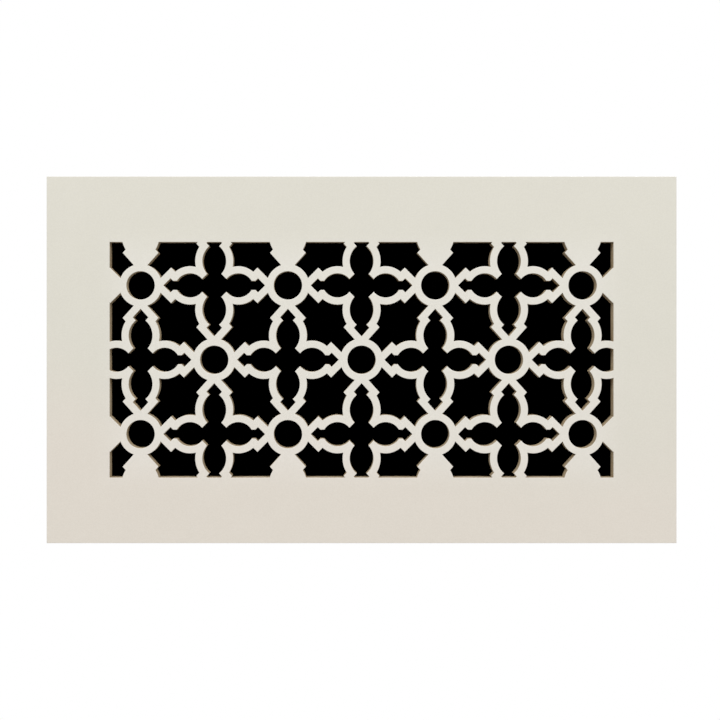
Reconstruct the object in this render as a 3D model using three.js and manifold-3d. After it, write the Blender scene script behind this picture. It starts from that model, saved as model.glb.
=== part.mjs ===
// A decorative vent cover: one flat board, pierced with rings and four-armed straps inside a plain border.
// Millimetres, +Z up. The board stands upright in the XZ plane with its painted front towards -Y and its
// back in the plane y = 0. The origin is on the back of the top rail, halfway along it.

import * as THREE from 'three';
import { mergeVertices } from 'three/addons/utils/BufferGeometryUtils.js';
import Module from 'manifold-3d';

// Board: the window is the pierced field, and rails and stiles are the plain border around it
const windowWidth = 284.5;
const windowHeight = 133;
const stileWidth = 35.55;
const railHeight = 37;
const thickness = 6.35;

// Lattice: rings and crosses take turns on a grid, so a ring's next neighbour is always a cross
const gridWidth = 41.6;
const gridHeight = 42;
const boreRadius = 8;
const strapWidth = 4.05;
const barbWidth = 4.5;
const footDistance = 7.4;

// Arms that run left and right between a ring and a cross
const sideTipWall = 4.9;
const sideSpearLength = 4;
const sideSlantDegrees = 45;
const sideNeckHeight = 5.1;
const sideBulbRadius = 8.7;
const sideBulbDistance = 13.6;
const sideBulbDrop = 1.9;

// Arms that run up and down between a ring and a cross
const uprightTipWall = 5.2;
const uprightSpearLength = 4.85;
const uprightSlantDegrees = 42;
const uprightNeckHeight = 5.6;
const uprightBulbRadius = 11;
const uprightBulbDistance = 13.7;
const uprightBulbDrop = 4.3;

// How far a round outline's facets may stray from the true arc
const facetError = 0.08;

// Off-white eggshell paint
const paintFinish = { color: 0xdedbd0, roughness: 0.55, metalness: 0 };

const ringRadius = boreRadius + strapWidth;
const overcut = thickness / 2;
const cutDepth = thickness + 2 * overcut;

const wasm = await Module();
wasm.setup();

const point = (x, y) => new THREE.Vector2(x, y);

// Points of an arc from one angle to another, both ends included
function arc(centre, radius, startAngle, endAngle) {
  const largestStep = 2 * Math.acos(1 - facetError / radius);
  const steps = Math.max(1, Math.ceil(Math.abs(endAngle - startAngle) / largestStep));
  return Array.from({ length: steps + 1 }, (_, step) => {
    const angle = THREE.MathUtils.lerp(startAngle, endAngle, step / steps);
    return point(centre.x + radius * Math.cos(angle), centre.y + radius * Math.sin(angle));
  });
}

// The shorter arc between two points of a circle
function arcBetween(centre, radius, from, to) {
  const startAngle = from.clone().sub(centre).angle();
  const turn = to.clone().sub(centre).angle() - startAngle;
  const shortTurn = THREE.MathUtils.euclideanModulo(turn + Math.PI, 2 * Math.PI) - Math.PI;
  return arc(centre, radius, startAngle, startAngle + shortTurn);
}

// A point moved sideways, to the left of a direction
const offsetLeft = (start, direction, distance) =>
  start.clone().addScaledVector(point(-direction.y, direction.x), distance);

// Where two lines meet, each given by a point and a direction
function meetLines(lineA, lineB) {
  const apart = lineB.start.clone().sub(lineA.start);
  const reach = apart.cross(lineB.direction) / lineA.direction.cross(lineB.direction);
  return lineA.start.clone().addScaledVector(lineA.direction, reach);
}

// Where a line meets a circle: the meeting furthest along the line's direction
function meetCircle(line, centre, radius) {
  const away = line.start.clone().sub(centre);
  const middle = -away.dot(line.direction);
  const halfChord = Math.sqrt(radius ** 2 - away.lengthSq() + middle ** 2);
  return line.start.clone().addScaledVector(line.direction, middle + halfChord);
}

// Where two circles meet, on the left of the way from the first centre to the second
function meetCircles(centreA, radiusA, centreB, radiusB) {
  const way = centreB.clone().sub(centreA);
  const distance = way.length();
  const along = (distance ** 2 + radiusA ** 2 - radiusB ** 2) / (2 * distance);
  const aside = Math.sqrt(radiusA ** 2 - along ** 2);
  way.normalize();
  return offsetLeft(centreA.clone().addScaledVector(way, along), way, aside);
}

// One half of an arm, in the arm's own frame: x runs along its axis from the ring's centre to the cross's
// centre, and y is the distance off the axis. The strap leaves the ring as a spear, turns back at a barb and
// swells into a bulb. Its cavity side runs from the spear's tip over the shoulder and the neck to the foot
// beside the cross's centre. Its star side leaves the ring at a notch and runs over the barb to the bulb.
function armOutline(sizes) {
  const { length, tipWall, spearLength, slantDegrees, neckHeight, bulbRadius, bulbDistance, bulbDrop } = sizes;
  const slant = THREE.MathUtils.degToRad(slantDegrees);
  const rising = point(Math.cos(slant), Math.sin(slant));
  const falling = point(Math.cos(slant), -Math.sin(slant));
  const tip = point(boreRadius + tipWall, 0);
  const shoulder = point(tip.x + spearLength, spearLength * Math.tan(slant));
  const bulbCentre = point(length - bulbDistance, -bulbDrop);

  // The neck is flat where the fall from the shoulder reaches its height before it meets the bulb
  const back = falling.clone().negate();
  const neckLine = { start: point(0, neckHeight / 2), direction: point(-1, 0) };
  const neckStart = meetLines({ start: shoulder, direction: falling }, neckLine);
  const neckEnd = meetCircle(neckLine, bulbCentre, bulbRadius);
  const mitre = meetCircle({ start: shoulder, direction: back }, bulbCentre, bulbRadius);
  const neck = neckStart.x < neckEnd.x ? [neckStart, neckEnd] : [mitre];

  const footLine = {
    start: point(length - footDistance * Math.SQRT2, 0),
    direction: point(Math.SQRT1_2, Math.SQRT1_2),
  };
  const foot = meetCircle(footLine, bulbCentre, bulbRadius);
  const bulb = arcBetween(bulbCentre, bulbRadius, neck.at(-1), foot);

  const outerRadius = bulbRadius + strapWidth;
  const outerRise = { start: offsetLeft(tip, rising, strapWidth), direction: rising };
  const outerFall = { start: offsetLeft(shoulder, falling, barbWidth), direction: back };
  return {
    cavity: [tip, shoulder, ...neck.slice(0, -1), ...bulb],
    ringNotch: meetCircle(outerRise, point(0, 0), ringRadius),
    barb: meetLines(outerRise, outerFall),
    bulbNotch: meetCircle(outerFall, bulbCentre, outerRadius),
    bulbCentre,
    outerRadius,
  };
}

const sideArm = armOutline({
  length: gridWidth,
  tipWall: sideTipWall,
  spearLength: sideSpearLength,
  slantDegrees: sideSlantDegrees,
  neckHeight: sideNeckHeight,
  bulbRadius: sideBulbRadius,
  bulbDistance: sideBulbDistance,
  bulbDrop: sideBulbDrop,
});

const uprightArm = armOutline({
  length: gridHeight,
  tipWall: uprightTipWall,
  spearLength: uprightSpearLength,
  slantDegrees: uprightSlantDegrees,
  neckHeight: uprightNeckHeight,
  bulbRadius: uprightBulbRadius,
  bulbDistance: uprightBulbDistance,
  bulbDrop: uprightBulbDrop,
});

// The cross-shaped opening around a cross's centre, a quarter of it drawn and then mirrored twice
function crossOutline() {
  const sideHalf = sideArm.cavity.map(({ x, y }) => point(gridWidth - x, y));
  const uprightHalf = uprightArm.cavity.map(({ x, y }) => point(y, gridHeight - x));
  const quarter = [...sideHalf, ...uprightHalf.reverse()];
  const half = [...quarter, ...quarter.slice(0, -1).map(({ x, y }) => point(-x, y)).reverse()];
  return [...half, ...half.slice(1, -1).map(({ x, y }) => point(x, -y)).reverse()];
}

// The star-shaped opening between two rings and two crosses, with one ring's centre at (0, 0) and the other
// at (gridWidth, gridHeight). Half of it is drawn, and half a turn about the cell's middle gives the rest.
function starOutline() {
  const upFromRing = ({ x, y }) => point(y, x);
  const leftFromFarRing = ({ x, y }) => point(gridWidth - x, gridHeight - y);
  const uprightCentre = upFromRing(uprightArm.bulbCentre);
  const sideCentre = leftFromFarRing(sideArm.bulbCentre);
  const corner = meetCircles(sideCentre, sideArm.outerRadius, uprightCentre, uprightArm.outerRadius);
  const half = [
    ...arcBetween(point(0, 0), ringRadius, sideArm.ringNotch, upFromRing(uprightArm.ringNotch)),
    upFromRing(uprightArm.barb),
    ...arcBetween(uprightCentre, uprightArm.outerRadius, upFromRing(uprightArm.bulbNotch), corner),
    ...arcBetween(sideCentre, sideArm.outerRadius, corner, leftFromFarRing(sideArm.bulbNotch)).slice(1),
    leftFromFarRing(sideArm.barb),
  ];
  return [...half, ...half.map(({ x, y }) => point(gridWidth - x, gridHeight - y))];
}

const boreOutline = () => arc(point(0, 0), boreRadius, 0, 2 * Math.PI).slice(0, -1);

function toSolid(geometry) {
  geometry.deleteAttribute('normal');
  geometry.deleteAttribute('uv');
  const merged = mergeVertices(geometry);
  const mesh = new wasm.Mesh({
    numProp: 3,
    vertProperties: merged.attributes.position.array,
    triVerts: Uint32Array.from(merged.index.array),
  });
  return new wasm.Manifold(mesh);
}

function toGeometry(solid) {
  const mesh = solid.getMesh();
  const geometry = new THREE.BufferGeometry();
  geometry.setAttribute('position', new THREE.BufferAttribute(mesh.vertProperties, 3));
  geometry.setIndex(new THREE.BufferAttribute(mesh.triVerts, 1));
  geometry.computeVertexNormals();
  return geometry;
}

// A cutter that passes through the whole board, from behind its back to in front of its face
function cutter(outline, x, y) {
  const geometry = new THREE.ExtrudeGeometry(new THREE.Shape(outline), {
    depth: cutDepth,
    bevelEnabled: false,
  });
  geometry.translate(x, y, -overcut);
  return toSolid(geometry);
}

const isRing = (column, row) => (column + row) % 2 === 0;
const columnsInWindow = Math.floor(windowWidth / 2 / gridWidth);
const rowsInWindow = Math.floor(windowHeight / 2 / gridHeight);

function boresAndCrosses() {
  const cutters = [];
  for (let column = -columnsInWindow; column <= columnsInWindow; column += 1) {
    for (let row = -rowsInWindow; row <= rowsInWindow; row += 1) {
      const outline = isRing(column, row) ? boreOutline() : crossOutline();
      cutters.push(cutter(outline, column * gridWidth, row * gridHeight));
    }
  }
  return cutters;
}

// Cells reach one grid step past the last whole one, so that the window's edge cuts the outer ones
function stars() {
  const cutters = [];
  const outline = starOutline();
  for (let column = -columnsInWindow - 1; column <= columnsInWindow; column += 1) {
    for (let row = -rowsInWindow - 1; row <= rowsInWindow; row += 1) {
      const mirrored = outline.map(({ x, y }) => point(gridWidth - x, y));
      const cell = isRing(column, row) ? outline : mirrored;
      cutters.push(cutter(cell, column * gridWidth, row * gridHeight));
    }
  }
  return cutters;
}

function ventCoverPanel() {
  const board = new THREE.BoxGeometry(windowWidth + 2 * stileWidth, windowHeight + 2 * railHeight, thickness);
  board.translate(0, 0, thickness / 2);
  const window = new THREE.BoxGeometry(windowWidth, windowHeight, 2 * cutDepth);
  const openings = [...boresAndCrosses(), ...stars()].reduce((sum, opening) => sum.add(opening));
  const pierced = toSolid(board).subtract(openings.intersect(toSolid(window)));

  const panel = new THREE.Mesh(toGeometry(pierced), new THREE.MeshStandardMaterial(paintFinish));
  panel.name = 'vent_cover_panel';
  panel.rotation.x = Math.PI / 2;
  panel.position.z = -(windowHeight + railHeight) / 2;
  return panel;
}

const group = new THREE.Group();
group.add(ventCoverPanel());

export default group;
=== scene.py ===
"""A painted, pierced vent cover panel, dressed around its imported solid.

The panel is one board: a plain border around a pierced field of rings and four-armed straps. Every outline is
worked out in the board's own plane (across, up) from the lattice's named sizes, clipped to the window, and
carried through the board along one edge profile. Metres throughout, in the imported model's frame: +Z up, the
painted front faces -Y and the back lies in the plane y = 0.
"""

from __future__ import annotations

import logging
import math
from dataclasses import dataclass, field
from enum import Enum, IntEnum
from typing import Union

import bpy
import numpy as np
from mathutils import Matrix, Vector
from mathutils.geometry import delaunay_2d_cdt
from numpy.typing import NDArray

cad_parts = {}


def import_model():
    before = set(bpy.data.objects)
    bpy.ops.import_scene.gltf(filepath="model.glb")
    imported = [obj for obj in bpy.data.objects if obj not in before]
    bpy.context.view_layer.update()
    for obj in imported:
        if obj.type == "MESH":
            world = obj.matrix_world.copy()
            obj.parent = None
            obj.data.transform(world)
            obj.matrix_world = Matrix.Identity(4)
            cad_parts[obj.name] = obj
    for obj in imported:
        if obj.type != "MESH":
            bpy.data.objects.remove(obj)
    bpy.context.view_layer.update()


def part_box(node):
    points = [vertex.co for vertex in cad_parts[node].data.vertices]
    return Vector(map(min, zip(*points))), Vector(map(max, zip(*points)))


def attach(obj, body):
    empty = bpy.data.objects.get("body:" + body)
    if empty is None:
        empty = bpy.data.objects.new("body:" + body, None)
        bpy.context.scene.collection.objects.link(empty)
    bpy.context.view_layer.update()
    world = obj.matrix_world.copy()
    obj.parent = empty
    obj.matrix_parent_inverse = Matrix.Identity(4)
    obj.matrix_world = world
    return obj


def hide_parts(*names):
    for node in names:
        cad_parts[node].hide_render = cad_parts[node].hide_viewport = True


log = logging.getLogger("vent_cover")

Points = NDArray[np.float64]
Numbers = NDArray[np.int64]
Slots = NDArray[np.int32]
Colour = tuple[float, float, float]
Axes = tuple[float, float, float]
Pair = tuple[float, float]
Socket = bpy.types.NodeSocket
Feed = Union[Socket, float, tuple[float, ...]]
Feeds = dict[Union[int, str], Feed]

NODE = "vent_cover_panel"
BODY = "root"

# How far a round outline's chords may stray from the true arc
CHORD_ERROR = 0.000015

# The triangulation's own number for triangles that lie inside the given loops
INSIDE_LOOPS = 1

# A cloudy noise's middle value, and the range that most of its values lie in
NOISE_MIDDLE = 0.5
NOISE_RANGE: Pair = (0.3, 0.7)

# How much of the light bare fibreboard mirrors, as the shader's specular level
BARE_SPECULAR = 0.3

WHITE: Colour = (1.0, 1.0, 1.0)
BLACK: Colour = (0.0, 0.0, 0.0)


def left_of(direction: Points) -> Points:
    """The direction turned a quarter turn to the left: (x, y) becomes (-y, x)."""
    return np.array([-direction[1], direction[0]])


def cross(first: Points, second: Points) -> float:
    """The cross product of two plane vectors: x1 y2 - y1 x2."""
    return float(first[0] * second[1] - first[1] * second[0])


def signed_area(outline: Points) -> float:
    """Half the sum of x y' - x' y over a closed outline's sides, positive where it runs counterclockwise."""
    after = np.roll(outline, -1, axis=0)
    return 0.5 * float(np.sum(outline[:, 0] * after[:, 1] - after[:, 0] * outline[:, 1]))


@dataclass(frozen=True)
class Circle:
    """A circle in a plane."""

    centre: Points
    radius: float

    def arc(self, start_angle: float, end_angle: float) -> Points:
        """Works out an arc as centre + radius (cos a, sin a), for angles a in equal steps.

        A step is at most 2 acos(1 - error / radius), so that no chord strays further than the chord error.

        Args:
            start_angle: The first point's angle in radians.
            end_angle: The last point's angle in radians.

        Returns:
            The arc's points, both ends included.
        """
        largest_step = 2 * math.acos(1 - CHORD_ERROR / self.radius)
        steps = max(1, math.ceil(abs(end_angle - start_angle) / largest_step))
        angles = np.linspace(start_angle, end_angle, steps + 1)
        return self.centre + self.radius * np.column_stack([np.cos(angles), np.sin(angles)])

    def whole(self) -> Points:
        """The closed outline of the whole circle, counterclockwise."""
        return self.arc(0.0, 2 * math.pi)[:-1]

    def arc_between(self, start: Points, end: Points) -> Points:
        """Works out the shorter arc between two points of the circle.

        Args:
            start: A point on the circle.
            end: Another point on the circle.

        Returns:
            The arc's points, both ends included.
        """
        start_angle = math.atan2(*(start - self.centre)[::-1])
        turn = math.atan2(*(end - self.centre)[::-1]) - start_angle
        short_turn = (turn + math.pi) % (2 * math.pi) - math.pi
        return self.arc(start_angle, start_angle + short_turn)

    def meet(self, other: Circle) -> Points:
        """Finds where two circles meet, on the left of the way from this centre to the other's.

        Along the way the meeting lies (d^2 + r1^2 - r2^2) / 2d from this centre, and Pythagoras gives how far
        aside it lies.

        Args:
            other: The other circle.

        Returns:
            The meeting point.
        """
        way = other.centre - self.centre
        distance = float(np.hypot(*way))
        along = (distance**2 + self.radius**2 - other.radius**2) / (2 * distance)
        aside = math.sqrt(self.radius**2 - along**2)
        way = way / distance
        return self.centre + along * way + aside * left_of(way)


@dataclass(frozen=True)
class Line:
    """A straight line in a plane: a point on it and its unit direction."""

    start: Points
    direction: Points

    def moved_left(self, distance: float) -> Line:
        """The parallel line that lies the given distance to the left."""
        return Line(self.start + distance * left_of(self.direction), self.direction)

    def turned_back(self) -> Line:
        """The same line, run through the other way."""
        return Line(self.start, -self.direction)

    def meet(self, other: Line) -> Points:
        """Where two lines meet, (apart x other direction) / (direction x other direction) along this one."""
        reach = cross(other.start - self.start, other.direction) / cross(self.direction, other.direction)
        return self.start + reach * self.direction

    def last_meeting(self, circle: Circle) -> Points:
        """Finds where the line leaves a circle: the meeting furthest along its direction.

        The chord's middle is the foot of the centre on the line, and half the chord is
        sqrt(radius^2 - distance^2).

        Args:
            circle: A circle that the line crosses.

        Returns:
            The meeting point.
        """
        away = self.start - circle.centre
        middle = -float(away @ self.direction)
        half_chord = math.sqrt(circle.radius**2 - float(away @ away) + middle**2)
        return self.start + (middle + half_chord) * self.direction


@dataclass(frozen=True)
class StrapSizes:
    """Sizes that all straps of the lattice share.

    Attributes:
        bore_radius: The radius of a ring's round opening.
        width: The width of a ring's wall and of a strap.
        barb_width: The strap's width behind its barb.
        foot_distance: How far the slanted side between the feet of two arms lies from the cross's centre.
    """

    bore_radius: float = 0.008
    width: float = 0.00405
    barb_width: float = 0.0045
    foot_distance: float = 0.0074

    @property
    def ring(self) -> Circle:
        """A ring's outer edge, around the ring's own centre."""
        return Circle(np.zeros(2), self.bore_radius + self.width)


@dataclass(frozen=True)
class ArmOutline:
    """The points of one half of an arm, along x from the ring's centre, y off the arm's axis."""

    cavity: Points
    ring_notch: Points
    barb: Points
    bulb_notch: Points
    bulb: Circle


@dataclass(frozen=True)
class ArmSizes:
    """Sizes of one arm, which leaves a ring as a spear, turns back at a barb and swells into a bulb.

    Attributes:
        tip_wall: The wall between the ring's bore and the tip of the arm's cavity.
        spear_length: How far the cavity's shoulder lies from its tip, along the arm.
        slant_degrees: How steeply the spear rises and falls.
        neck_height: The cavity's height where its neck is flat.
        bulb_radius: The radius of the bulb's inner side.
        bulb_distance: How far the bulb's centre lies from the cross's centre, along the arm.
        bulb_drop: How far the bulb's centre lies beyond the arm's axis.
        shortest_flat: The shortest neck that is flat. One that would be shorter is a mitre.
    """

    tip_wall: float
    spear_length: float
    slant_degrees: float
    neck_height: float
    bulb_radius: float
    bulb_distance: float
    bulb_drop: float
    shortest_flat: float = 0.0005

    def outline(self, length: float, straps: StrapSizes) -> ArmOutline:
        """Works out the half arm from meetings of its slanted lines, its bulb's circle and the ring.

        The cavity side runs from the spear's tip over the shoulder and the neck, along the bulb to the foot
        beside the cross's centre. The other side is the same course moved out by the strap's width.

        Args:
            length: How far the cross's centre lies from the ring's.
            straps: The sizes that all straps share.

        Returns:
            The half arm's points in the arm's own frame.
        """
        slant = math.radians(self.slant_degrees)
        tip = np.array([straps.bore_radius + self.tip_wall, 0.0])
        shoulder = tip + np.array([self.spear_length, self.spear_length * math.tan(slant)])
        rise = Line(tip, np.array([math.cos(slant), math.sin(slant)]))
        fall = Line(shoulder, np.array([math.cos(slant), -math.sin(slant)]))
        inner_bulb = Circle(np.array([length - self.bulb_distance, -self.bulb_drop]), self.bulb_radius)
        outer_bulb = Circle(inner_bulb.centre, self.bulb_radius + straps.width)

        diagonal = np.array([1.0, 1.0]) / math.sqrt(2)
        foot_start = np.array([length - straps.foot_distance * math.sqrt(2), 0.0])
        foot = Line(foot_start, diagonal).last_meeting(inner_bulb)
        neck = self.neck(fall, inner_bulb)
        cavity = np.vstack([tip, shoulder, neck[:-1], inner_bulb.arc_between(neck[-1], foot)])

        outer_rise = rise.moved_left(straps.width)
        outer_fall = fall.moved_left(straps.barb_width)
        return ArmOutline(
            cavity=cavity,
            ring_notch=outer_rise.last_meeting(straps.ring),
            barb=outer_rise.meet(outer_fall),
            bulb_notch=outer_fall.turned_back().last_meeting(outer_bulb),
            bulb=outer_bulb,
        )

    def neck(self, fall: Line, bulb: Circle) -> Points:
        """Works out the neck between the shoulder's fall and the bulb.

        The neck is flat where the fall reaches its height well before it meets the bulb, and else one
        mitre.

        Args:
            fall: The line down from the shoulder.
            bulb: The bulb's inner circle.

        Returns:
            The neck's points, the last of them on the bulb.
        """
        level = Line(np.array([0.0, self.neck_height / 2]), np.array([-1.0, 0.0]))
        flat = np.array([fall.meet(level), level.last_meeting(bulb)])
        mitre = fall.turned_back().last_meeting(bulb)
        return flat if flat[1, 0] - flat[0, 0] > self.shortest_flat else mitre[np.newaxis]


@dataclass(frozen=True)
class Lattice:
    """The pierced field: rings and crosses that take turns on a grid, cut off by the window's edge."""

    window: Points = field(default_factory=lambda: np.array([0.2845, 0.133]))
    grid: Points = field(default_factory=lambda: np.array([0.0416, 0.042]))
    straps: StrapSizes = StrapSizes()
    side_sizes: ArmSizes = ArmSizes(
        tip_wall=0.0049,
        spear_length=0.004,
        slant_degrees=45.0,
        neck_height=0.0051,
        bulb_radius=0.0087,
        bulb_distance=0.0136,
        bulb_drop=0.0019,
    )
    upright_sizes: ArmSizes = ArmSizes(
        tip_wall=0.0052,
        spear_length=0.00485,
        slant_degrees=42.0,
        neck_height=0.0056,
        bulb_radius=0.011,
        bulb_distance=0.0137,
        bulb_drop=0.0043,
    )

    @property
    def side(self) -> ArmOutline:
        """An arm that runs left or right, in its own frame."""
        return self.side_sizes.outline(self.grid[0], self.straps)

    @property
    def upright(self) -> ArmOutline:
        """An arm that runs up or down, in its own frame."""
        return self.upright_sizes.outline(self.grid[1], self.straps)

    def cross_opening(self) -> Points:
        """Works out a cross's opening: one quarter from both arms' cavities, mirrored across, then down.

        Returns:
            The closed outline around the cross's centre.
        """
        side, upright = self.side.cavity, self.upright.cavity
        side_half = np.column_stack([self.grid[0] - side[:, 0], side[:, 1]])
        upright_half = np.column_stack([upright[:, 1], self.grid[1] - upright[:, 0]])
        quarter = np.vstack([side_half, upright_half[::-1]])
        half = np.vstack([quarter, (quarter[:-1] * [-1, 1])[::-1]])
        return np.vstack([half, (half[1:-1] * [1, -1])[::-1]])

    def star_opening(self) -> Points:
        """Works out the star between two rings and two crosses, half of it turned half round for the rest.

        One ring's centre is at (0, 0) and the other's at the grid cell's far corner.

        Returns:
            The closed outline in the cell's frame.
        """
        side, upright = self.side, self.upright
        side_bulb = Circle(self.grid - side.bulb.centre, side.bulb.radius)
        upright_bulb = Circle(upright.bulb.centre[::-1], upright.bulb.radius)
        corner = side_bulb.meet(upright_bulb)
        half = np.vstack([
            self.straps.ring.arc_between(side.ring_notch, upright.ring_notch[::-1]),
            upright.barb[::-1],
            upright_bulb.arc_between(upright.bulb_notch[::-1], corner),
            side_bulb.arc_between(corner, self.grid - side.bulb_notch)[1:],
            self.grid - side.barb,
        ])
        return np.vstack([half, self.grid - half])

    def clip(self, outline: Points, side: Points) -> Points:
        """Keeps the part of a closed outline within one edge of the window.

        A corner stays where its slack, the window's reach less its own, is positive. A side that crosses the
        edge adds the point start + share (end - start), with share = slack / (slack - next slack).

        Args:
            outline: A closed outline.
            side: The unit vector from the window's middle towards the edge.

        Returns:
            The clipped outline, which has no points where nothing is left.
        """
        slack = np.abs(self.window / 2 @ side) - outline @ side
        next_slack = np.roll(slack, -1)
        inside = slack > 0
        crosses = inside != (next_slack > 0)
        share = slack / np.where(crosses, slack - next_slack, 1.0)
        crossings = outline + share[:, np.newaxis] * (np.roll(outline, -1, axis=0) - outline)
        kept = np.column_stack([inside, crosses]).ravel()
        return np.stack([outline, crossings], axis=1).reshape(-1, 2)[kept]

    def openings(self) -> list[Points]:
        """Lays out all openings in the window.

        Bores and crosses take turns on the grid's points and stars fill its cells, each second one mirrored.
        Cells reach one step past the last whole one, so that the window's edge cuts the outer ones.

        Returns:
            The openings' closed outlines, counterclockwise, around the window's middle.
        """
        columns, rows = (self.window / 2 // self.grid).astype(int)
        bore = Circle(np.zeros(2), self.straps.bore_radius).whole()
        cross_cut, star = self.cross_opening(), self.star_opening()
        mirrored = np.column_stack([self.grid[0] - star[:, 0], star[:, 1]])
        laid = []
        for column in range(-columns - 1, columns + 1):
            for row in range(-rows - 1, rows + 1):
                is_ring = (column + row) % 2 == 0
                place = self.grid * [column, row]
                laid.append(place + (star if is_ring else mirrored))
                if column >= -columns and row >= -rows:
                    laid.append(place + (bore if is_ring else cross_cut))
        for side in np.array([[1.0, 0.0], [-1.0, 0.0], [0.0, 1.0], [0.0, -1.0]]):
            laid = [self.clip(outline, side) for outline in laid]
        return [outline if signed_area(outline) > 0 else outline[::-1] for outline in laid]


class Slot(IntEnum):
    """The panel's material slots."""

    PAINT = 0
    CUT = 1
    BACK = 2


@dataclass(frozen=True)
class EdgeProfile:
    """How a cut edge runs from the painted face to the bare back.

    A short flat step, the support, stands before and after each rounded arris, so that the shading of the
    flat faces and of the cut wall stays flat.
    """

    front_radius: float = 0.0002
    back_radius: float = 0.00015
    support: float = 0.00006
    front_steps: int = 3
    back_steps: int = 2

    def rows(self, thickness: float) -> Points:
        """Works out the profile's points as (inset into the board, depth behind the face).

        Each arris is a quarter circle: inset = radius (1 - sin a) and depth = radius (1 - cos a), with a
        from 0 on the face to a right angle on the cut wall. The back's is the same, run the other way.

        Args:
            thickness: The board's thickness.

        Returns:
            One row for each point of the profile, from the front to the back.
        """
        front = self.arris(self.front_radius, self.front_steps)
        back = self.arris(self.back_radius, self.back_steps)[::-1] * [1, -1] + [0, thickness]
        return np.vstack([front, back])

    def arris(self, radius: float, steps: int) -> Points:
        """Works out one rounded arris between its two supports, from the flat face down the wall.

        Args:
            radius: The arris's radius.
            steps: How many chords the quarter circle has.

        Returns:
            Rows of inset and depth.
        """
        angles = np.linspace(0, math.pi / 2, steps + 1)
        curve = radius * np.column_stack([1 - np.sin(angles), 1 - np.cos(angles)])
        return np.vstack([curve[0] + [self.support, 0], curve, curve[-1] + [0, self.support]])

    def slots(self) -> Slots:
        """Picks each strip's material, from the front to the back.

        Paint covers the front's support and arris. The cut wall runs between its own two supports and takes
        in the back's arris, and the last support belongs to the back.

        Returns:
            One slot number for each strip.
        """
        painted = [Slot.PAINT] * (1 + self.front_steps)
        cut = [Slot.CUT] * (3 + self.back_steps)
        return np.array([*painted, *cut, Slot.BACK], dtype=np.int32)


class SheetMesh:
    """Collects whole arrays of vertices and faces, and puts them into one mesh."""

    def __init__(self) -> None:
        """Starts with nothing collected."""
        self.vertices: list[Points] = []
        self.faces: list[Numbers] = []
        self.face_slots: list[Slots] = []
        self.sharp_pairs: list[Numbers] = [np.empty((0, 2), dtype=np.int64)]
        self.count = 0

    def add_vertices(self, points: Points) -> Numbers:
        """Adds vertices.

        Args:
            points: An array whose last axis is x, y, z.

        Returns:
            The vertices' numbers, in the array's own shape.
        """
        flat = points.reshape(-1, 3)
        numbers = self.count + np.arange(len(flat)).reshape(points.shape[:-1])
        self.vertices.append(flat)
        self.count += len(flat)
        return numbers

    def add_faces(self, corners: Numbers, slots: Slots) -> None:
        """Adds faces with the same number of corners: for each, a row of vertex numbers and a slot."""
        self.faces.append(corners)
        self.face_slots.append(slots)

    def add_sharp(self, pairs: Numbers) -> None:
        """Asks for sharp edges: one row of two vertex numbers for each."""
        self.sharp_pairs.append(pairs)

    def edge_keys(self, pairs: Numbers) -> Numbers:
        """One number for each pair of vertices, whichever comes first: lower * count + higher."""
        return pairs.min(axis=1) * self.count + pairs.max(axis=1)

    def to_mesh(self, name: str) -> bpy.types.Mesh:
        """Puts the arrays into a mesh of Blender's.

        Args:
            name: The mesh's name.

        Returns:
            The mesh, smooth shaded but for its sharp edges.
        """
        sizes = np.concatenate([np.full(len(faces), faces.shape[1]) for faces in self.faces])
        mesh = bpy.data.meshes.new(name)
        mesh.vertices.add(self.count)
        mesh.vertices.foreach_set("co", np.concatenate(self.vertices).astype(np.float32).ravel())
        mesh.loops.add(int(sizes.sum()))
        mesh.loops.foreach_set("vertex_index", np.concatenate([faces.ravel() for faces in self.faces]))
        mesh.polygons.add(len(sizes))
        mesh.polygons.foreach_set("loop_start", np.cumsum(sizes) - sizes)
        mesh.polygons.foreach_set("material_index", np.concatenate(self.face_slots))
        mesh.polygons.foreach_set("use_smooth", np.ones(len(sizes), dtype=bool))
        mesh.update(calc_edges=True)
        ends = np.empty(len(mesh.edges) * 2, dtype=np.int32)
        mesh.edges.foreach_get("vertices", ends)
        sharp_keys = self.edge_keys(np.concatenate(self.sharp_pairs))
        sharp = np.isin(self.edge_keys(ends.reshape(-1, 2).astype(np.int64)), sharp_keys)
        mesh.edges.foreach_set("use_edge_sharp", sharp)
        mesh.validate()
        return mesh


def show(mesh: bpy.types.Mesh, materials: list[bpy.types.Material]) -> bpy.types.Object:
    """Puts a mesh into the scene as an object of the same name, at the origin.

    Args:
        mesh: The mesh.
        materials: What its slots hold, in order.

    Returns:
        The object.
    """
    for material in materials:
        mesh.materials.append(material)
    thing = bpy.data.objects.new(mesh.name, mesh)
    bpy.context.scene.collection.objects.link(thing)
    return thing


def show_flat(name: str, rim: Points, material: bpy.types.Material) -> bpy.types.Object:
    """Shows one flat face.

    Args:
        name: The object's name.
        rim: The places around the face, counterclockwise from where its front is seen.
        material: The face's material.

    Returns:
        The object.
    """
    sheet = SheetMesh()
    numbers = sheet.add_vertices(rim)
    sheet.add_faces(numbers[np.newaxis], np.zeros(1, dtype=np.int32))
    return show(sheet.to_mesh(name), [material])


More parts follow.
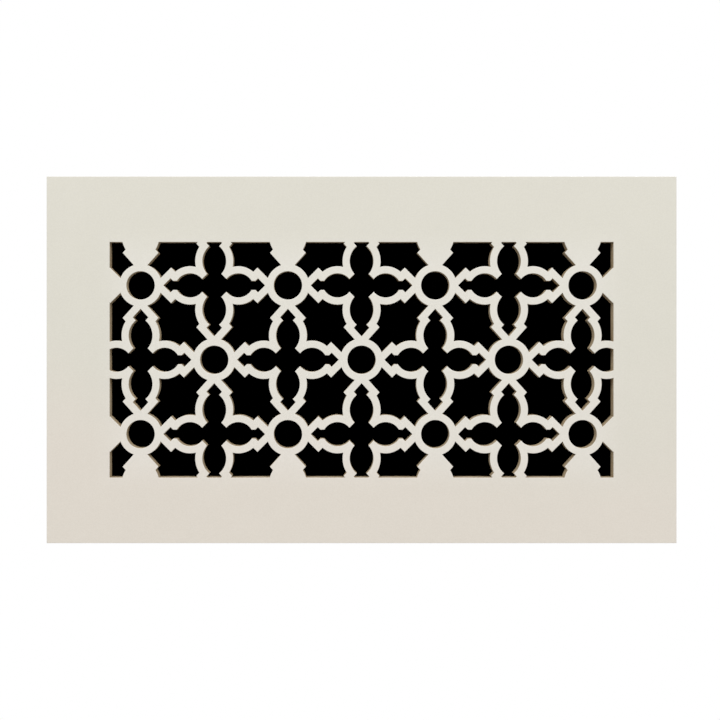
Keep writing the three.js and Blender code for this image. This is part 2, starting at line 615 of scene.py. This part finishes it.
class NodeSheet:
    """Adds nodes to a node tree from left to right, and links them."""

    COLUMN = 200

    # The Mix node's sockets for colours, by number, because its sockets for values have the same names
    MIX_FIRST = 6
    MIX_SECOND = 7
    MIX_RESULT = 2

    def __init__(self, tree: bpy.types.NodeTree) -> None:
        """Takes the node tree of a material, a world or a group."""
        self.tree = tree

    def add(self, kind: str, feeds: Feeds, **settings: object) -> bpy.types.Node:
        """Adds one node.

        Args:
            kind: The node's type name.
            feeds: What its inputs take, as for feed.
            **settings: The node's own settings.

        Returns:
            The new node.
        """
        node = self.tree.nodes.new(kind)
        node.location = (self.COLUMN * (len(self.tree.nodes) - 1), 0)
        for name, value in settings.items():
            setattr(node, name, value)
        self.feed(node, feeds)
        return node

    def feed(self, node: bpy.types.Node, feeds: Feeds) -> None:
        """Gives a node's inputs links or plain values.

        Args:
            node: The node.
            feeds: For each input, by name or number, the other node's socket, number, vector or colour.
        """
        for key, feed in feeds.items():
            socket = node.inputs[key]
            if isinstance(feed, Socket):
                self.tree.links.new(feed, socket)
            elif socket.type == "RGBA":
                socket.default_value = (*feed, 1.0)
            else:
                socket.default_value = feed

    def math(self, operation: str, first: Feed, second: Feed = 0.0) -> Socket:
        """One sum of two values, by the Math node's own names."""
        return self.add("ShaderNodeMath", {0: first, 1: second}, operation=operation).outputs[0]

    def vector_math(self, operation: str, first: Feed, second: Feed = (0.0, 0.0, 0.0)) -> Socket:
        """One sum of two vectors, by the Vector Math node's own names, which gives a vector or a value."""
        node = self.add("ShaderNodeVectorMath", {0: first, 1: second}, operation=operation)
        return next(output for output in node.outputs if output.enabled)

    def spread(self, value: Feed, start: Feed, end: Feed, low: Feed = 0.0, high: Feed = 1.0) -> Socket:
        """Maps a value from the range start to end onto the range low to high, with a smooth step."""
        feeds = {"Value": value, "From Min": start, "From Max": end, "To Min": low, "To Max": high}
        return self.add("ShaderNodeMapRange", feeds, interpolation_type="SMOOTHSTEP").outputs["Result"]

    def noise(self, vector: Feed, scale: Feed, detail: float = 2.0, roughness: float = 0.5) -> Socket:
        """A cloudy noise, from its lumps to the metre, how many finer layers it has and their strength."""
        feeds = {"Vector": vector, "Scale": scale, "Detail": detail, "Roughness": roughness}
        return self.add("ShaderNodeTexNoise", feeds).outputs[0]

    def stretched(self, vector: Feed, scale: Feed) -> Socket:
        """The place with each axis scaled by its own factor."""
        return self.add("ShaderNodeMapping", {"Vector": vector, "Scale": scale}).outputs["Vector"]

    def blend(self, share: Feed, first: Feed, second: Feed, way: str = "MIX") -> Socket:
        """Blends a share of the second colour into the first, by the Mix node's own name for the way."""
        feeds = {0: share, self.MIX_FIRST: first, self.MIX_SECOND: second}
        return self.add("ShaderNodeMix", feeds, data_type="RGBA", blend_type=way).outputs[self.MIX_RESULT]

    def effect(self, group: bpy.types.NodeTree, feeds: Feeds) -> bpy.types.NodeOutputs:
        """A shared effect's outputs, for the values that feed it."""
        return self.add("ShaderNodeGroup", feeds, node_tree=group).outputs


class Kind(Enum):
    """What a shared effect's socket carries, by the node interface's own names."""

    NUMBER = "NodeSocketFloat"
    VECTOR = "NodeSocketVector"
    COLOUR = "NodeSocketColor"


class EffectSheet(NodeSheet):
    """The sheet of a new node group, with its named sockets."""

    def __init__(self, name: str, takes: dict[str, Kind], gives: dict[str, Kind]) -> None:
        """Starts the group.

        Args:
            name: The group's name.
            takes: Each input's name and kind.
            gives: Each output's name and kind.
        """
        super().__init__(bpy.data.node_groups.new(name, "ShaderNodeTree"))
        for label, kind in takes.items():
            self.tree.interface.new_socket(label, in_out="INPUT", socket_type=kind.value)
        for label, kind in gives.items():
            self.tree.interface.new_socket(label, in_out="OUTPUT", socket_type=kind.value)
        self.given = self.add("NodeGroupInput", {}).outputs
        self.result = self.add("NodeGroupOutput", {})


class SharedEffects:
    """The effects that more than one finish uses, each a node group that is made once."""

    # The noise values between which a drift runs from its first colour to its second
    DRIFT: Pair = (0.25, 0.75)

    # How far the pale fibres' noise lies from the dark ones', how much finer the noise is that breaks the
    # fibres up, and the values between which a piece of fibre fades in
    PALE_SHIFT: Axes = (0.31, 0.17, 0.23)
    PIECE_FINENESS = 1.6
    PIECE_EDGE: Pair = (0.52, 0.6)

    # How much finer the fuzz around the fibres is, and how far a fibre stands out of it
    FUZZ_FINENESS = 3.0
    FIBRE_RISE = 0.3

    # How many bends a paint line has to the metre, and how soft it is, as a share of its stray
    BENDS = 1400.0
    SOFTNESS = 0.08

    def __init__(self) -> None:
        """Makes all groups."""
        self.mottling = self.make_mottling()
        self.fibres = self.make_fibres()
        self.paint_reach = self.make_paint_reach()

    def make_mottling(self) -> bpy.types.NodeTree:
        """Makes broad, soft drifts between two colours.

        Returns:
            The group, which takes the place, the drifts' scale, how much the second colour gains to the
            metre along each axis as a painted tint of light, and both colours, and gives the colour.
        """
        takes = {
            "Place": Kind.VECTOR,
            "Scale": Kind.NUMBER,
            "Painted Light Lean": Kind.VECTOR,
            "Low": Kind.COLOUR,
            "High": Kind.COLOUR,
        }
        sheet = EffectSheet("mottling", takes, {"Colour": Kind.COLOUR})
        place, scale, painted_light_lean, low, high = (sheet.given[name] for name in takes)
        cloud = sheet.noise(place, scale, detail=1.5)
        # The lean lays a painted tint of light over the drift, where a finish gives one
        cloud_and_painted_light = sheet.math("ADD", cloud, sheet.vector_math("DOT_PRODUCT", place, painted_light_lean))
        colour = sheet.blend(sheet.spread(cloud_and_painted_light, *self.DRIFT), low, high)
        sheet.feed(sheet.result, {"Colour": colour})
        return sheet.tree

    def make_fibres(self) -> bpy.types.NodeTree:
        """Makes the short, bent wood fibres of pressed board, which lie every way.

        A fibre is a piece of the line on which a soft noise has its middle value, and a second noise breaks
        that line up.

        Returns:
            The group, which takes the place, the fibres' scale and their width, and gives masks of the dark
            fibres and of the pale ones, and a height for a bump.
        """
        takes = {"Place": Kind.VECTOR, "Scale": Kind.NUMBER, "Width": Kind.NUMBER}
        gives = {"Dark": Kind.NUMBER, "Pale": Kind.NUMBER, "Height": Kind.NUMBER}
        sheet = EffectSheet("pressed_fibres", takes, gives)
        place, scale, width = (sheet.given[name] for name in takes)
        half_width = sheet.math("MULTIPLY", width, 0.5)
        masks = []
        for shift in ((0.0, 0.0, 0.0), self.PALE_SHIFT):
            moved = sheet.vector_math("ADD", place, shift)
            off_line = sheet.math("SUBTRACT", sheet.noise(moved, scale), NOISE_MIDDLE)
            line = sheet.spread(sheet.math("ABSOLUTE", off_line), width, half_width)
            pieces = sheet.noise(moved, sheet.math("MULTIPLY", scale, self.PIECE_FINENESS), detail=0.0)
            masks.append(sheet.math("MULTIPLY", line, sheet.spread(pieces, *self.PIECE_EDGE)))
        dark, pale = masks
        fuzz_scale = sheet.math("MULTIPLY", scale, self.FUZZ_FINENESS)
        fuzz = sheet.noise(place, fuzz_scale, detail=3.0, roughness=0.6)
        rise = sheet.math("MULTIPLY", sheet.math("SUBTRACT", pale, dark), self.FIBRE_RISE)
        height = sheet.math("ADD", fuzz, rise)
        sheet.feed(sheet.result, {"Dark": dark, "Pale": pale, "Height": height})
        return sheet.tree

    def make_paint_reach(self) -> bpy.types.NodeTree:
        """Makes the ragged line where the paint of the face stops on a cut edge.

        Returns:
            The group, which takes the place, the depth behind the face, how deep the paint reaches and how
            far that line strays, and gives a mask of the paint.
        """
        takes = {"Place": Kind.VECTOR, "Depth": Kind.NUMBER, "Reach": Kind.NUMBER, "Stray": Kind.NUMBER}
        sheet = EffectSheet("paint_reach", takes, {"Mask": Kind.NUMBER})
        place, depth, reach, stray = (sheet.given[name] for name in takes)
        bends = sheet.noise(place, self.BENDS, detail=4.0, roughness=0.6)
        strayed = sheet.math("MULTIPLY", sheet.math("SUBTRACT", bends, NOISE_MIDDLE), stray)
        line = sheet.math("ADD", reach, strayed)
        over = sheet.math("DIVIDE", sheet.math("SUBTRACT", depth, line), stray)
        sheet.feed(sheet.result, {"Mask": sheet.spread(over, self.SOFTNESS, -self.SOFTNESS)})
        return sheet.tree


class FinishSheet(NodeSheet):
    """The sheet of a new material, with its Principled shader and the object's own places."""

    def __init__(self, name: str) -> None:
        """Starts the material.

        Args:
            name: The material's name.
        """
        self.material = bpy.data.materials.new(name)
        self.material.use_nodes = True
        self.material.node_tree.nodes.clear()
        super().__init__(self.material.node_tree)
        self.place = self.add("ShaderNodeTexCoord", {}).outputs["Object"]
        self.shader = self.add("ShaderNodeBsdfPrincipled", {})
        self.add("ShaderNodeOutputMaterial", {"Surface": self.shader.outputs[0]})

    def depth(self, thickness: float) -> Socket:
        """How far a place lies behind the face of a board this thick: y + thickness."""
        axes = self.add("ShaderNodeSeparateXYZ", {"Vector": self.place})
        return self.math("ADD", axes.outputs["Y"], thickness)

    def relief(self, height: Feed, distance: float) -> Socket:
        """The normal where a height of 1 stands out by the given distance."""
        return self.add("ShaderNodeBump", {"Height": height, "Distance": distance}).outputs["Normal"]

    def darkened(self, effects: SharedEffects, body: Feed, scale: float, shade: Colour) -> Socket:
        """A colour that drifts to its product with a shade, in lumps of the given scale."""
        feeds = {"Place": self.place, "Scale": scale, "Low": WHITE, "High": shade}
        return self.blend(1.0, body, self.effect(effects.mottling, feeds)["Colour"], "MULTIPLY")


@dataclass(frozen=True)
class PaintLine:
    """The ragged line where paint stops on a cut edge: how deep it reaches, and how far it strays."""

    reach: float = 0.00023
    stray: float = 0.00035

    def mask(self, sheet: FinishSheet, effects: SharedEffects, depth: Socket) -> Socket:
        """A mask of the paint at a depth behind the face."""
        feeds = {"Place": sheet.place, "Depth": depth, "Reach": self.reach, "Stray": self.stray}
        return sheet.effect(effects.paint_reach, feeds)["Mask"]


@dataclass(frozen=True)
class Fibres:
    """Short dark and pale fibres that show in bare board."""

    width: float
    dark: Colour
    pale: Colour
    dark_strength: float
    pale_strength: float

    def lay(
        self, sheet: FinishSheet, effects: SharedEffects, scale: float, body: Feed
    ) -> tuple[Socket, Socket]:
        """Lays fibres into a colour.

        Args:
            sheet: The material's sheet.
            effects: The shared effects.
            scale: How many fibres there are to the metre.
            body: The board's colour without them.

        Returns:
            The board's colour with them, and their height.
        """
        feeds = {"Place": sheet.place, "Scale": scale, "Width": self.width}
        laid = sheet.effect(effects.fibres, feeds)
        body = sheet.blend(sheet.math("MULTIPLY", laid["Dark"], self.dark_strength), body, self.dark)
        body = sheet.blend(sheet.math("MULTIPLY", laid["Pale"], self.pale_strength), body, self.pale)
        return body, laid["Height"]


@dataclass(frozen=True)
class EggshellPaint:
    """Sprayed off-white eggshell paint, thin over the arrises."""

    thickness: float
    middle: Axes
    window: Pair
    cool: Colour = (0.737, 0.714, 0.632)
    warm: Colour = (0.758, 0.705, 0.629)
    drift_scale: float = 7.0
    # Painted light: how much warmer the colour gets to the metre along each axis, from a place off the
    # panel's middle, a tint that stands in for the light, cool on the top and warm towards the bottom and
    # left
    painted_light_lean: Axes = (-0.55, 0.0, -4.5)
    painted_light_start: Axes = (0.0, 0.0, -0.037)
    white: Colour = (0.845, 0.815, 0.767)
    whiter: float = 0.37
    # How far off the window's edge the whiter paint starts, outside it, and is full, inside it
    window_border: Pair = (0.01, -0.016)
    stipple_scale: float = 1300.0
    stippled: Colour = (0.965, 0.962, 0.955)
    bare: Colour = (0.40, 0.31, 0.19)
    line: PaintLine = PaintLine()
    sheen_scale: float = 45.0
    roughness: Pair = (0.44, 0.56)
    peel_scale: float = 650.0
    peel_height: float = 0.000012

    def material(self, effects: SharedEffects) -> bpy.types.Material:
        """Mixes the paint.

        The colour drifts a little over the face, with painted light laid in as a lean from cool at the top to
        warm at the bottom and left, and is whiter over the pierced field; a fine stipple breaks it up, the
        sheen is uneven, a faint orange peel bends the light, and bare board shows in spots on the arris.

        Args:
            effects: The shared effects.

        Returns:
            The material.
        """
        sheet = FinishSheet("eggshell_paint")
        centred = sheet.vector_math("SUBTRACT", sheet.place, self.middle)
        # Painted light: the drift leans cool towards the top and warm towards the bottom and left, as the
        # light falls
        feeds = {
            "Place": sheet.vector_math("SUBTRACT", centred, self.painted_light_start),
            "Scale": self.drift_scale,
            "Painted Light Lean": self.painted_light_lean,
            "Low": self.cool,
            "High": self.warm,
        }
        body = sheet.effect(effects.mottling, feeds)["Colour"]
        whiter = sheet.math("MULTIPLY", self.over_window(sheet, centred), self.whiter)
        body = sheet.blend(whiter, body, self.white)
        body = sheet.darkened(effects, body, self.stipple_scale, self.stippled)
        cover = self.line.mask(sheet, effects, sheet.depth(self.thickness))
        sheen = sheet.noise(sheet.place, self.sheen_scale, detail=3.0)
        peel = sheet.noise(sheet.place, self.peel_scale, roughness=0.4)
        feeds = {
            "Base Color": sheet.blend(cover, self.bare, body),
            "Roughness": sheet.spread(sheen, *NOISE_RANGE, *self.roughness),
            "Normal": sheet.relief(peel, self.peel_height),
        }
        sheet.feed(sheet.shader, feeds)
        return sheet.material

    def over_window(self, sheet: FinishSheet, centred: Socket) -> Socket:
        """Masks the pierced field, softly at its border: max(|x| - width / 2, |z| - height / 2) < 0.

        Args:
            sheet: The material's sheet.
            centred: The place around the panel's middle.

        Returns:
            The mask's socket.
        """
        half = (self.window[0] / 2, 0.0, self.window[1] / 2)
        past = sheet.vector_math("SUBTRACT", sheet.vector_math("ABSOLUTE", centred), half)
        axes = sheet.add("ShaderNodeSeparateXYZ", {"Vector": past}).outputs
        return sheet.spread(sheet.math("MAXIMUM", axes["X"], axes["Z"]), *self.window_border)


@dataclass(frozen=True)
class CutEdge:
    """The raw cut wall of the fibreboard: dense dark skins, a paler core, and faint lines of the cut."""

    thickness: float
    core: Colour = (0.53, 0.43, 0.285)
    skin: Colour = (0.42, 0.325, 0.205)
    # Where the core ends and the skin starts, off the board's middle, as shares of its thickness
    core_to_skin: Pair = (0.22, 0.48)
    toast_scale: float = 60.0
    toasted: Colour = (0.82, 0.78, 0.72)
    line_stretch: Axes = (1.0, 0.05, 1.0)
    line_count: float = 3600.0
    # The noise values between which a line fades in
    line_edge: Pair = (0.48, 0.75)
    line_strength: float = 0.4
    scorched: Colour = (0.27, 0.19, 0.11)
    paint: Colour = (0.72, 0.69, 0.61)
    fibre_scale: float = 1300.0
    fibres: Fibres = Fibres(width=0.02, dark=scorched, pale=paint, dark_strength=0.6, pale_strength=0.4)
    line: PaintLine = PaintLine()
    mist: PaintLine = PaintLine(reach=0.0005, stray=0.0022)
    mist_strength: float = 0.4
    roughness: Pair = (0.7, 0.88)
    relief: float = 0.00003

    def material(self, effects: SharedEffects) -> bpy.types.Material:
        """Mixes the cut wall.

        The colour runs from skin to core to skin through the board, toasted here and there, with lines along
        the cut, dark and pale fibres, and a mist of paint behind the arris.

        Args:
            effects: The shared effects.

        Returns:
            The material.
        """
        sheet = FinishSheet("cut_fibreboard")
        depth = sheet.depth(self.thickness)
        off_middle = sheet.math("ABSOLUTE", sheet.math("SUBTRACT", depth, self.thickness / 2))
        layers = (share * self.thickness for share in self.core_to_skin)
        body = sheet.blend(sheet.spread(off_middle, *layers), self.core, self.skin)
        body = sheet.darkened(effects, body, self.toast_scale, self.toasted)
        lines = sheet.noise(sheet.stretched(sheet.place, self.line_stretch), self.line_count)
        scorch = sheet.spread(lines, *self.line_edge, 0.0, self.line_strength)
        body = sheet.blend(scorch, body, self.scorched)
        body, fibre_height = self.fibres.lay(sheet, effects, self.fibre_scale, body)

        cover = self.line.mask(sheet, effects, depth)
        mist = sheet.math("MULTIPLY", self.mist.mask(sheet, effects, depth), self.mist_strength)
        feeds = {
            "Base Color": sheet.blend(sheet.math("MAXIMUM", cover, mist), body, self.paint),
            "Roughness": sheet.spread(lines, *NOISE_RANGE, *self.roughness),
            "Normal": sheet.relief(sheet.math("ADD", lines, fibre_height), self.relief),
            "Specular IOR Level": BARE_SPECULAR,
        }
        sheet.feed(sheet.shader, feeds)
        return sheet.material


@dataclass(frozen=True)
class BareBack:
    """The board's unpainted back: pressed brown fibre, sanded along the board."""

    light: Colour = (0.455, 0.34, 0.208)
    dark: Colour = (0.42, 0.305, 0.18)
    drift_scale: float = 26.0
    fibre_scales: Pair = (420.0, 1100.0)
    fibres: Fibres = Fibres(
        width=0.014,
        dark=(0.23, 0.15, 0.08),
        pale=(0.60, 0.48, 0.32),
        dark_strength=0.5,
        pale_strength=0.5,
    )
    sanding_stretch: Axes = (0.012, 1.0, 1.0)
    sanding_count: float = 2600.0
    # The noise values between which a scratch fades in
    sanding_edge: Pair = (0.5, 0.8)
    sanding_strength: float = 0.25
    roughness: Pair = (0.62, 0.8)
    relief: float = 0.000012

    def material(self, effects: SharedEffects) -> bpy.types.Material:
        """Mixes the bare back.

        Broad drifts, coarse and fine fibres, dark and pale, and long fine scratches of the sanding, which
        also bend the light.

        Args:
            effects: The shared effects.

        Returns:
            The material.
        """
        sheet = FinishSheet("bare_fibreboard")
        feeds = {"Place": sheet.place, "Scale": self.drift_scale, "Low": self.light, "High": self.dark}
        body = sheet.effect(effects.mottling, feeds)["Colour"]
        height = 0.0
        for scale in self.fibre_scales:
            body, fibre_height = self.fibres.lay(sheet, effects, scale, body)
            height = sheet.math("ADD", fibre_height, height)
        sanding = sheet.noise(sheet.stretched(sheet.place, self.sanding_stretch), self.sanding_count)
        sanded = sheet.spread(sanding, *self.sanding_edge, 0.0, self.sanding_strength)
        feeds = {
            "Base Color": sheet.blend(sanded, body, self.light),
            "Roughness": sheet.spread(sanding, *NOISE_RANGE, *self.roughness),
            "Normal": sheet.relief(sheet.math("ADD", sanding, height), self.relief),
            "Specular IOR Level": BARE_SPECULAR,
        }
        sheet.feed(sheet.shader, feeds)
        return sheet.material


@dataclass
class PiercedPanel:
    """The whole vent cover: one pierced board, painted on its front."""

    low: Points
    high: Points
    lattice: Lattice = field(default_factory=Lattice)
    profile: EdgeProfile = EdgeProfile()
    sharp_degrees: float = 20.0

    @property
    def thickness(self) -> float:
        """The board's thickness, along y."""
        return float(self.high[1] - self.low[1])

    @property
    def middle(self) -> Points:
        """The board's middle."""
        return (self.low + self.high) / 2

    def outlines(self) -> list[Points]:
        """Gathers the board's outlines, each with the board's material on its right.

        Returns:
            The outer edge, clockwise, and then the openings, counterclockwise, in x and z.
        """
        half = ((self.high - self.low) / 2)[[0, 2]]
        outer = half * np.array([[-1, -1], [-1, 1], [1, 1], [1, -1]])
        return [self.middle[[0, 2]] + outline for outline in [outer, *self.lattice.openings()]]

    def inset_directions(self, outline: Points) -> Points:
        """Works out the way that each corner moves when the whole outline is inset by one.

        With unit vectors n1 and n2 to the right of the sides before and after a corner, the mitred way is
        (n1 + n2) / (1 + n1 . n2).

        Args:
            outline: A closed outline with the board's material on its right.

        Returns:
            One vector for each corner.
        """
        sides = np.roll(outline, -1, axis=0) - outline
        sides /= np.linalg.norm(sides, axis=1, keepdims=True)
        after = np.column_stack([sides[:, 1], -sides[:, 0]])
        before = np.roll(after, 1, axis=0)
        return (before + after) / (1 + np.sum(before * after, axis=1, keepdims=True))

    def add_edge(self, sheet: SheetMesh, outline: Points) -> Numbers:
        """Carries the edge profile along one outline.

        The surface's two parameters are the profile's point j and the outline's point i: the place is
        outline[i] + inset[j] way[i] in the board's plane, at the face plus depth[j] through the board. The
        mitre is sharp where the outline turns further than the sharp angle, since a way is
        1 / cos(turn / 2) long.

        Args:
            sheet: The mesh that is added to.
            outline: A closed outline with the board's material on its right.

        Returns:
            The vertex numbers, one row for each point of the profile.
        """
        inset, depth = self.profile.rows(self.thickness).T
        ways = self.inset_directions(outline)
        flat = outline + inset[:, np.newaxis, np.newaxis] * ways
        through = np.broadcast_to((self.low[1] + depth)[:, np.newaxis], flat.shape[:2])
        numbers = sheet.add_vertices(np.stack([flat[..., 0], through, flat[..., 1]], axis=-1))
        turned = np.roll(numbers, -1, axis=1)
        quads = np.stack([numbers[:-1], turned[:-1], turned[1:], numbers[1:]], axis=-1)
        sheet.add_faces(quads.reshape(-1, 4), np.repeat(self.profile.slots(), len(outline)))
        cornered = np.linalg.norm(ways, axis=1) > 1 / math.cos(math.radians(self.sharp_degrees / 2))
        sheet.add_sharp(np.stack([numbers[:-1, cornered], numbers[1:, cornered]], axis=-1).reshape(-1, 2))
        return numbers

    def add_face(self, sheet: SheetMesh, rings: list[Numbers], slot: Slot, front: bool) -> None:
        """Fills the flat face between the outer ring and the openings' rings with triangles.

        The triangulation is Delaunay's, kept to the rings. A triangle belongs to the board where it lies in
        one ring alone, the outer one, and runs counterclockwise in x and z.

        Args:
            sheet: The mesh that is added to.
            rings: The vertex numbers around the outer edge and around each opening.
            slot: The face's material slot.
            front: Whether the face looks towards -Y.
        """
        numbers = np.concatenate([rings[0][::-1], *rings[1:]])
        places = np.concatenate(sheet.vertices)[numbers][:, [0, 2]]
        ends = np.cumsum([len(ring) for ring in rings])
        loops = [loop.tolist() for loop in np.split(np.arange(len(numbers)), ends[:-1])]
        filled = delaunay_2d_cdt(places.tolist(), [], loops, INSIDE_LOOPS, 0.0)
        _, _, triangles, sources, _, owners = filled
        of_board = np.array([len(owner) for owner in owners]) == 1
        board = numbers[np.concatenate(sources)[np.array(triangles)[of_board]]]
        sheet.add_faces(board if front else board[:, ::-1], np.full(len(board), slot, dtype=np.int32))

    def build(self, effects: SharedEffects) -> bpy.types.Object:
        """Builds the panel and dresses it.

        Args:
            effects: The shared effects.

        Returns:
            The finished piece.
        """
        sheet = SheetMesh()
        edges = [self.add_edge(sheet, outline) for outline in self.outlines()]
        self.add_face(sheet, [numbers[0] for numbers in edges], Slot.PAINT, front=True)
        self.add_face(sheet, [numbers[-1] for numbers in edges], Slot.BACK, front=False)
        paint = EggshellPaint(self.thickness, tuple(self.middle), tuple(self.lattice.window))
        finishes = (paint, CutEdge(self.thickness), BareBack())
        panel = show(sheet.to_mesh("pierced_panel"), [finish.material(effects) for finish in finishes])
        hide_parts(NODE)
        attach(panel, BODY)
        return panel


@dataclass(frozen=True)
class SoftBox:
    """A square soft light that looks at the panel."""

    name: str
    azimuth: float
    elevation: float
    power: float
    distance: float = 3.0
    size: float = 2.0

    def build(self, target: Vector) -> bpy.types.Object:
        """Places the light around its target.

        The place is target + distance (sin a cos e, -cos a cos e, sin e), with azimuth a and elevation e.

        Args:
            target: What the light looks at.

        Returns:
            The light's object.
        """
        azimuth, elevation = math.radians(self.azimuth), math.radians(self.elevation)
        flat = math.cos(elevation)
        way = Vector((math.sin(azimuth) * flat, -math.cos(azimuth) * flat, math.sin(elevation)))
        data = bpy.data.lights.new(self.name, "AREA")
        data.shape = "SQUARE"
        data.size = self.size
        data.energy = self.power
        light = bpy.data.objects.new(self.name, data)
        light.location = target + self.distance * way
        light.rotation_euler = way.to_track_quat("Z", "Y").to_euler()
        bpy.context.scene.collection.objects.link(light)
        return light


@dataclass(frozen=True)
class Studio:
    """A bright tent of soft light over a pale floor, with a dark card across the openings."""

    low: Points
    high: Points
    tent_light: float = 0.35
    floor_drop: float = 0.55
    floor_radius: float = 1.2
    # Where the floor starts to fade and where it is gone, as shares of its radius
    floor_fade: Pair = (0.25, 0.95)
    floor_colour: Colour = (0.66, 0.655, 0.64)
    floor_roughness: float = 0.8
    # The card is larger than the window, so that its rim is hidden in the board
    card_width: float = 0.305
    card_height: float = 0.152
    card_depth: float = 0.0004
    boxes: tuple[SoftBox, ...] = (
        SoftBox("key_left", azimuth=-42.0, elevation=42.0, power=56.0),
        SoftBox("key_right", azimuth=42.0, elevation=38.0, power=51.0),
        SoftBox("back_fill", azimuth=165.0, elevation=35.0, power=70.0),
    )

    @property
    def middle(self) -> Vector:
        """The panel's middle."""
        return Vector((self.low + self.high) / 2)

    def build_world(self) -> None:
        """Makes the tent: white to the camera, and dimmer as a light."""
        world = bpy.data.worlds.new("tent")
        world.use_nodes = True
        world.node_tree.nodes.clear()
        sheet = NodeSheet(world.node_tree)
        seen = sheet.add("ShaderNodeLightPath", {}).outputs["Is Camera Ray"]
        lit = sheet.add("ShaderNodeBackground", {"Color": WHITE, "Strength": self.tent_light})
        white = sheet.add("ShaderNodeBackground", {"Color": WHITE, "Strength": 1.0})
        both = sheet.add("ShaderNodeMixShader", {0: seen, 1: lit.outputs[0], 2: white.outputs[0]})
        sheet.add("ShaderNodeOutputWorld", {"Surface": both.outputs[0]})
        bpy.context.scene.world = world

    def build_floor(self) -> bpy.types.Object:
        """Lays a pale round floor, a circle's outline below the panel, that fades out into the tent.

        Returns:
            The floor.
        """
        rim = Circle(np.zeros(2), self.floor_radius).whole()
        level = np.full(len(rim), self.low[2] - self.floor_drop)
        return show_flat("floor", np.column_stack([rim, level]), self.floor_finish())

    def floor_finish(self) -> bpy.types.Material:
        """Mixes the floor's matt white, which turns clear towards the rim.

        Returns:
            The material.
        """
        sheet = FinishSheet("pale_floor")
        distance = sheet.vector_math("LENGTH", sheet.stretched(sheet.place, (1.0, 1.0, 0.0)))
        fade = (share * self.floor_radius for share in self.floor_fade)
        feeds = {
            "Base Color": self.floor_colour,
            "Roughness": self.floor_roughness,
            "Alpha": sheet.spread(distance, *fade, 1.0, 0.0),
        }
        sheet.feed(sheet.shader, feeds)
        return sheet.material

    def build_card(self) -> bpy.types.Object:
        """Sets the dark card into the openings, just inside the board's back, clear when seen from behind.

        Returns:
            The card.
        """
        # Painted shade: the black card stands for the darkness behind the openings, and is seen only from the
        # front
        across = self.card_width / 2 * np.array([-1, 1, 1, -1]) + self.middle.x
        up = self.card_height / 2 * np.array([-1, -1, 1, 1]) + self.middle.z
        through = np.full(len(up), self.high[1] - self.card_depth)
        return show_flat("dark_card", np.column_stack([across, through, up]), self.card_finish())

    def card_finish(self) -> bpy.types.Material:
        """Mixes the card's black, which is clear from behind.

        Returns:
            The material.
        """
        sheet = FinishSheet("dark_card")
        behind = sheet.add("ShaderNodeNewGeometry", {}).outputs["Backfacing"]
        # Painted shade: black from the front only, standing for the darkness behind the openings
        feeds = {
            "Base Color": BLACK,
            "Roughness": 1.0,
            "Specular IOR Level": 0.0,
            "Alpha": sheet.math("SUBTRACT", 1.0, behind),
        }
        sheet.feed(sheet.shader, feeds)
        return sheet.material

    def build(self) -> None:
        """Builds the tent, the floor, the card and the lights."""
        self.build_world()
        stage = [self.build_floor(), self.build_card()]
        for thing in stage:
            log.info("stage %s: %d faces", thing.name, len(thing.data.polygons))
        for box in self.boxes:
            box.build(self.middle)
            log.info("light %s: %.1f W", box.name, box.power)


@dataclass(frozen=True)
class View:
    """The camera: straight at the painted face, a little left of the panel's middle and above it.

    Attributes:
        distance: How far the camera stands before the face.
        frame_width: The width of the face's plane that fills the picture.
        sensor_millimetres: The width of the camera's sensor.
        axis_across: Where the camera stands, right of the panel's middle.
        axis_up: Where it stands above the middle.
        aim_across: Where the picture's middle lies, right of the panel's.
        aim_up: Where it lies above the panel's.
    """

    distance: float = 0.546
    frame_width: float = 0.4064
    sensor_millimetres: float = 36.0
    axis_across: float = -0.0145
    axis_up: float = 0.0155
    aim_across: float = -0.0009
    aim_up: float = -0.0001

    def build(self, low: Points, high: Points) -> bpy.types.Object:
        """Places the camera and shifts its frame from its axis back to the panel.

        The lens is sensor width x distance / frame width, and the shift is the aim's way off the axis as a
        share of the frame's width.

        Args:
            low: The panel's lowest corner.
            high: The panel's highest corner.

        Returns:
            The camera's object.
        """
        middle = (low + high) / 2
        data = bpy.data.cameras.new("camera")
        data.sensor_width = self.sensor_millimetres
        data.lens = self.sensor_millimetres * self.distance / self.frame_width
        data.shift_x = (self.aim_across - self.axis_across) / self.frame_width
        data.shift_y = (self.aim_up - self.axis_up) / self.frame_width
        camera = bpy.data.objects.new("camera", data)
        camera.location = (middle[0] + self.axis_across, low[1] - self.distance, middle[2] + self.axis_up)
        camera.rotation_euler = (math.pi / 2, 0.0, 0.0)
        bpy.context.scene.collection.objects.link(camera)
        bpy.context.scene.camera = camera
        return camera


def corners(bounds: tuple[Vector, Vector]) -> list[list[float]]:
    """Both corners of a box as plain lists of numbers."""
    return [list(corner) for corner in bounds]


def main() -> None:
    """Builds the panel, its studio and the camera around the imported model, and reports each piece."""
    logging.basicConfig(level=logging.INFO, format="%(name)s: %(message)s")
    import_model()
    low, high = (np.array(corner, dtype=float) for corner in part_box(NODE))

    panel = PiercedPanel(low, high).build(SharedEffects())
    triangles = sum(len(face.vertices) - 2 for face in panel.data.polygons)
    log.info("piece %s: %d triangles, rides on %s", panel.name, triangles, BODY)
    Studio(low, high).build()
    camera = View().build(low, high)
    log.info("camera: %.1f mm lens", camera.data.lens)

    bpy.context.scene.view_settings.view_transform = "Standard"


if __name__ == "__main__":
    main()
